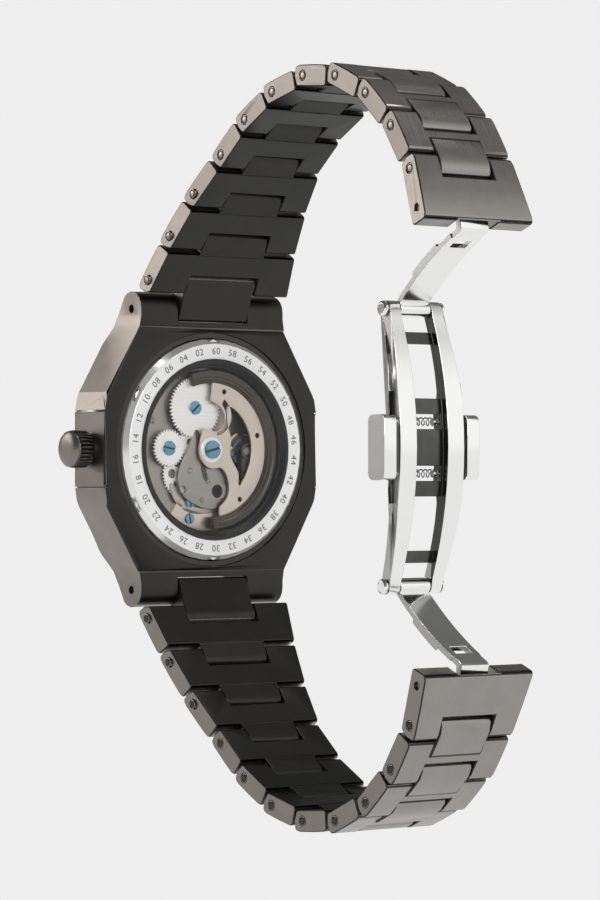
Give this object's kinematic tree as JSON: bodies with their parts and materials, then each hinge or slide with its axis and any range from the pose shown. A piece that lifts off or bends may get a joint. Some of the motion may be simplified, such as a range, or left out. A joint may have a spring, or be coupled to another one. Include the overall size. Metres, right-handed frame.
{
  "type": "wristwatch",
  "caption": "Automatic wristwatch with a glazed case back, steel link bracelet and an unfolded butterfly clasp.",
  "frame": {"origin": "centre of the outer face of the back crystal", "axes": "+X to the crown, +Y out of the case back towards the wrist, +Z to twelve o'clock"},
  "size_m": [0.0459, 0.0756, 0.1144],
  "materials": {
    "case_metal": "brushed gunmetal-coloured coated steel",
    "link_metal": "satin gunmetal-coloured coated steel",
    "polished_steel": "mirror-polished steel",
    "back_ring_steel": "polished and fine-turned steel",
    "crystal": "clear polished crystal",
    "dial_lacquer": "dark lacquer",
    "hand_steel": "polished",
    "plate_nickel": "grained nickel plate",
    "rotor_nickel": "warm nickel plate",
    "wheel_steel": "fine-grained steel",
    "balance_brass": "polished",
    "blued_steel": "heat-blued steel",
    "seal_rubber": "matt",
    "holder_polymer": "matt black",
    "spring_steel": "drawn wire"
  },
  "bodies": {
    "case": {"mid_case": "case_metal", "bezel": "case_metal", "front_crystal": "crystal", "dial": "dial_lacquer", "case_back_ring": "back_ring_steel", "back_crystal": "crystal", "movement_holder": "holder_polymer", "main_plate": "plate_nickel", "train_bridge": "plate_nickel", "balance_cock": "plate_nickel", "rotor_screw": "blued_steel", "crown_tube": "wheel_steel", "upper_case_pin": "polished_steel", "lower_case_pin": "polished_steel"},
    "hour_hand": {"hour_hand": "hand_steel"},
    "minute_hand": {"minute_hand": "hand_steel"},
    "second_hand": {"second_hand": "hand_steel"},
    "rotor": {"rotor": "rotor_nickel"},
    "balance_wheel": {"balance_wheel": "balance_brass"},
    "ratchet_wheel": {"ratchet_wheel": "wheel_steel"},
    "crown_wheel": {"crown_wheel": "wheel_steel"},
    "reverser_wheel": {"reverser_wheel": "wheel_steel"},
    "crown_seal": {"crown_gasket": "seal_rubber"},
    "crown": {"crown": "case_metal", "stem": "wheel_steel"},
    "upper_end_link": {"upper_end_link": "link_metal"},
    "upper_link_01": {"upper_link_01": "link_metal"},
    "upper_link_02": {"upper_link_02": "link_metal"},
    "upper_link_03": {"upper_link_03": "link_metal"},
    "upper_link_04": {"upper_link_04": "link_metal"},
    "upper_link_05": {"upper_link_05": "link_metal"},
    "upper_link_06": {"upper_link_06": "link_metal"},
    "upper_link_07": {"upper_link_07": "link_metal"},
    "upper_link_08": {"upper_link_08": "link_metal"},
    "upper_link_09": {"upper_link_09": "link_metal"},
    "upper_link_10": {"upper_link_10": "link_metal"},
    "upper_clasp_link": {"upper_clasp_link": "link_metal", "upper_clasp_bar": "polished_steel"},
    "lower_end_link": {"lower_end_link": "link_metal"},
    "lower_link_01": {"lower_link_01": "link_metal"},
    "lower_link_02": {"lower_link_02": "link_metal"},
    "lower_link_03": {"lower_link_03": "link_metal"},
    "lower_link_04": {"lower_link_04": "link_metal"},
    "lower_link_05": {"lower_link_05": "link_metal"},
    "lower_link_06": {"lower_link_06": "link_metal"},
    "lower_link_07": {"lower_link_07": "link_metal"},
    "lower_link_08": {"lower_link_08": "link_metal"},
    "lower_link_09": {"lower_link_09": "link_metal"},
    "lower_link_10": {"lower_link_10": "link_metal"},
    "lower_clasp_link": {"lower_clasp_link": "link_metal"},
    "upper_blade": {"upper_blade": "polished_steel"},
    "clasp_frame": {"clasp_frame": "polished_steel", "upper_hinge_pin": "polished_steel", "lower_hinge_pin": "polished_steel", "upper_button_spring": "spring_steel", "lower_button_spring": "spring_steel"},
    "lower_blade": {"lower_blade": "polished_steel", "lower_clasp_bar": "polished_steel"},
    "left_button": {"left_button": "polished_steel"},
    "right_button": {"right_button": "polished_steel"}
  },
  "joints": [
    {"name": "upper_lug_hinge", "type": "hinge", "parent": "case", "child": "upper_end_link", "pos_m": [0, -0.0037, 0.022], "axis": [-1, 0, 0], "range_deg": [-20, 25]},
    {"name": "upper_hinge_01", "type": "hinge", "parent": "upper_end_link", "child": "upper_link_01", "pos_m": [0, -0.00004, 0.02637], "axis": [-1, 0, 0], "range_deg": [-20, 25]},
    {"name": "upper_hinge_02", "type": "hinge", "parent": "upper_link_01", "child": "upper_link_02", "pos_m": [0, 0.00392, 0.03309], "axis": [-1, 0, 0], "range_deg": [-20, 25]},
    {"name": "upper_hinge_03", "type": "hinge", "parent": "upper_link_02", "child": "upper_link_03", "pos_m": [0, 0.00851, 0.0394], "axis": [-1, 0, 0], "range_deg": [-20, 25]},
    {"name": "upper_hinge_04", "type": "hinge", "parent": "upper_link_03", "child": "upper_link_04", "pos_m": [0, 0.01377, 0.04515], "axis": [-1, 0, 0], "range_deg": [-20, 25]},
    {"name": "upper_hinge_05", "type": "hinge", "parent": "upper_link_04", "child": "upper_link_05", "pos_m": [0, 0.01981, 0.05009], "axis": [-1, 0, 0], "range_deg": [-20, 25]},
    {"name": "upper_hinge_06", "type": "hinge", "parent": "upper_link_05", "child": "upper_link_06", "pos_m": [0, 0.02669, 0.05376], "axis": [-1, 0, 0], "range_deg": [-20, 25]},
    {"name": "upper_hinge_07", "type": "hinge", "parent": "upper_link_06", "child": "upper_link_07", "pos_m": [0, 0.03429, 0.05555], "axis": [-1, 0, 0], "range_deg": [-20, 25]},
    {"name": "upper_hinge_08", "type": "hinge", "parent": "upper_link_07", "child": "upper_link_08", "pos_m": [0, 0.04206, 0.0549], "axis": [-1, 0, 0], "range_deg": [-20, 25]},
    {"name": "upper_hinge_09", "type": "hinge", "parent": "upper_link_08", "child": "upper_link_09", "pos_m": [0, 0.04919, 0.05174], "axis": [-1, 0, 0], "range_deg": [-20, 25]},
    {"name": "upper_hinge_10", "type": "hinge", "parent": "upper_link_09", "child": "upper_link_10", "pos_m": [0, 0.055, 0.04653], "axis": [-1, 0, 0], "range_deg": [-20, 25]},
    {"name": "upper_hinge_11", "type": "hinge", "parent": "upper_link_10", "child": "upper_clasp_link", "pos_m": [0, 0.05928, 0.04001], "axis": [-1, 0, 0], "range_deg": [-20, 25]},
    {"name": "lower_lug_hinge", "type": "hinge", "parent": "case", "child": "lower_end_link", "pos_m": [0, -0.0037, -0.022], "axis": [1, 0, 0], "range_deg": [-20, 25]},
    {"name": "lower_hinge_01", "type": "hinge", "parent": "lower_end_link", "child": "lower_link_01", "pos_m": [0, -0.00004, -0.02637], "axis": [1, 0, 0], "range_deg": [-20, 25]},
    {"name": "lower_hinge_02", "type": "hinge", "parent": "lower_link_01", "child": "lower_link_02", "pos_m": [0, 0.00392, -0.03309], "axis": [1, 0, 0], "range_deg": [-20, 25]},
    {"name": "lower_hinge_03", "type": "hinge", "parent": "lower_link_02", "child": "lower_link_03", "pos_m": [0, 0.00851, -0.0394], "axis": [1, 0, 0], "range_deg": [-20, 25]},
    {"name": "lower_hinge_04", "type": "hinge", "parent": "lower_link_03", "child": "lower_link_04", "pos_m": [0, 0.01377, -0.04515], "axis": [1, 0, 0], "range_deg": [-20, 25]},
    {"name": "lower_hinge_05", "type": "hinge", "parent": "lower_link_04", "child": "lower_link_05", "pos_m": [0, 0.01981, -0.05009], "axis": [1, 0, 0], "range_deg": [-20, 25]},
    {"name": "lower_hinge_06", "type": "hinge", "parent": "lower_link_05", "child": "lower_link_06", "pos_m": [0, 0.02669, -0.05376], "axis": [1, 0, 0], "range_deg": [-20, 25]},
    {"name": "lower_hinge_07", "type": "hinge", "parent": "lower_link_06", "child": "lower_link_07", "pos_m": [0, 0.03429, -0.05555], "axis": [1, 0, 0], "range_deg": [-20, 25]},
    {"name": "lower_hinge_08", "type": "hinge", "parent": "lower_link_07", "child": "lower_link_08", "pos_m": [0, 0.04206, -0.0549], "axis": [1, 0, 0], "range_deg": [-20, 25]},
    {"name": "lower_hinge_09", "type": "hinge", "parent": "lower_link_08", "child": "lower_link_09", "pos_m": [0, 0.04919, -0.05174], "axis": [1, 0, 0], "range_deg": [-20, 25]},
    {"name": "lower_hinge_10", "type": "hinge", "parent": "lower_link_09", "child": "lower_link_10", "pos_m": [0, 0.055, -0.04653], "axis": [1, 0, 0], "range_deg": [-20, 25]},
    {"name": "lower_hinge_11", "type": "hinge", "parent": "lower_link_10", "child": "lower_clasp_link", "pos_m": [0, 0.05928, -0.04001], "axis": [1, 0, 0], "range_deg": [-20, 25]},
    {"name": "upper_bar_hinge", "type": "hinge", "parent": "upper_clasp_link", "child": "upper_blade", "pos_m": [0, 0.06165, 0.03418], "axis": [-1, 0, 0], "range_deg": [-5, 100]},
    {"name": "clasp_fold", "type": "hinge", "parent": "upper_blade", "child": "clasp_frame", "pos_m": [0, 0.0482, 0.0204], "axis": [1, 0, 0], "range_deg": [0, 113.6]},
    {"name": "lower_blade_fold", "type": "hinge", "parent": "clasp_frame", "child": "lower_blade", "pos_m": [0, 0.0482, -0.0204], "axis": [1, 0, 0], "range_deg": [0, 115]},
    {"name": "left_button_press", "type": "slide", "parent": "clasp_frame", "child": "left_button", "axis": [1, 0, 0], "range_m": [0, 0.0006], "stiffness_N_per_m": 400, "deforming": ["upper_button_spring", "lower_button_spring"]},
    {"name": "right_button_press", "type": "slide", "parent": "clasp_frame", "child": "right_button", "axis": [-1, 0, 0], "range_m": [0, 0.0006], "stiffness_N_per_m": 400},
    {"name": "crown_pull", "type": "slide", "parent": "case", "child": "crown_seal", "axis": [1, 0, 0], "range_m": [0, 0.0012]},
    {"name": "crown_turn", "type": "hinge", "parent": "crown_seal", "child": "crown", "pos_m": [0.022, -0.0053, 0], "axis": [1, 0, 0], "continuous": true},
    {"name": "crown_wheel_turn", "type": "hinge", "parent": "case", "child": "crown_wheel", "pos_m": [0.0077, -0.0024, 0.0002], "axis": [0, 1, 0], "continuous": true},
    {"name": "ratchet_wheel_turn", "type": "hinge", "parent": "case", "child": "ratchet_wheel", "pos_m": [0.0026, -0.0024, 0.0066], "axis": [0, 1, 0], "continuous": true},
    {"name": "second_turn", "type": "hinge", "parent": "case", "child": "second_hand", "pos_m": [0, -0.00928, 0], "axis": [0, 1, 0], "continuous": true},
    {"name": "minute_turn", "type": "hinge", "parent": "case", "child": "minute_hand", "pos_m": [0, -0.00898, 0], "axis": [0, 1, 0], "continuous": true},
    {"name": "hour_turn", "type": "hinge", "parent": "case", "child": "hour_hand", "pos_m": [0, -0.00868, 0], "axis": [0, 1, 0], "continuous": true},
    {"name": "rotor_turn", "type": "hinge", "parent": "case", "child": "rotor", "pos_m": [0, -0.0014, 0], "axis": [0, 1, 0], "continuous": true},
    {"name": "reverser_turn", "type": "hinge", "parent": "case", "child": "reverser_wheel", "pos_m": [0.0046, -0.0029, -0.0038], "axis": [0, 1, 0], "continuous": true},
    {"name": "balance_swing", "type": "hinge", "parent": "case", "child": "balance_wheel", "pos_m": [-0.0074, -0.0034, -0.0002], "axis": [0, 1, 0], "range_deg": [-150, 150], "stiffness_Nm_per_rad": 0.000001}
  ],
  "couplings": [
    {"joint": "upper_lug_hinge", "follows": "clasp_fold", "ratio": -0.044},
    {"joint": "upper_hinge_01", "follows": "clasp_fold", "ratio": 0.053},
    {"joint": "upper_hinge_02", "follows": "clasp_fold", "ratio": 0.071},
    {"joint": "upper_hinge_03", "follows": "clasp_fold", "ratio": 0.078},
    {"joint": "upper_hinge_04", "follows": "clasp_fold", "ratio": 0.09},
    {"joint": "upper_hinge_05", "follows": "clasp_fold", "ratio": 0.095},
    {"joint": "upper_hinge_06", "follows": "clasp_fold", "ratio": 0.078},
    {"joint": "upper_hinge_07", "follows": "clasp_fold", "ratio": 0.037},
    {"joint": "upper_hinge_08", "follows": "clasp_fold", "ratio": -0.017},
    {"joint": "upper_hinge_09", "follows": "clasp_fold", "ratio": -0.065},
    {"joint": "upper_hinge_10", "follows": "clasp_fold", "ratio": -0.1},
    {"joint": "upper_hinge_11", "follows": "clasp_fold", "ratio": -0.126},
    {"joint": "lower_lug_hinge", "follows": "clasp_fold", "ratio": -0.044},
    {"joint": "lower_hinge_01", "follows": "clasp_fold", "ratio": 0.053},
    {"joint": "lower_hinge_02", "follows": "clasp_fold", "ratio": 0.071},
    {"joint": "lower_hinge_03", "follows": "clasp_fold", "ratio": 0.078},
    {"joint": "lower_hinge_04", "follows": "clasp_fold", "ratio": 0.09},
    {"joint": "lower_hinge_05", "follows": "clasp_fold", "ratio": 0.095},
    {"joint": "lower_hinge_06", "follows": "clasp_fold", "ratio": 0.078},
    {"joint": "lower_hinge_07", "follows": "clasp_fold", "ratio": 0.037},
    {"joint": "lower_hinge_08", "follows": "clasp_fold", "ratio": -0.017},
    {"joint": "lower_hinge_09", "follows": "clasp_fold", "ratio": -0.065},
    {"joint": "lower_hinge_10", "follows": "clasp_fold", "ratio": -0.1},
    {"joint": "lower_hinge_11", "follows": "clasp_fold", "ratio": -0.126},
    {"joint": "upper_bar_hinge", "follows": "clasp_fold", "ratio": 0.85},
    {"joint": "lower_blade_fold", "follows": "clasp_fold", "ratio": 1},
    {"joint": "crown_wheel_turn", "follows": "crown_turn", "ratio": -0.6},
    {"joint": "ratchet_wheel_turn", "follows": "crown_turn", "ratio": 0.36735},
    {"joint": "minute_turn", "follows": "second_turn", "ratio": 0.016667},
    {"joint": "hour_turn", "follows": "second_turn", "ratio": 0.0013889},
    {"joint": "reverser_turn", "follows": "rotor_turn", "ratio": -0.6}
  ]
}
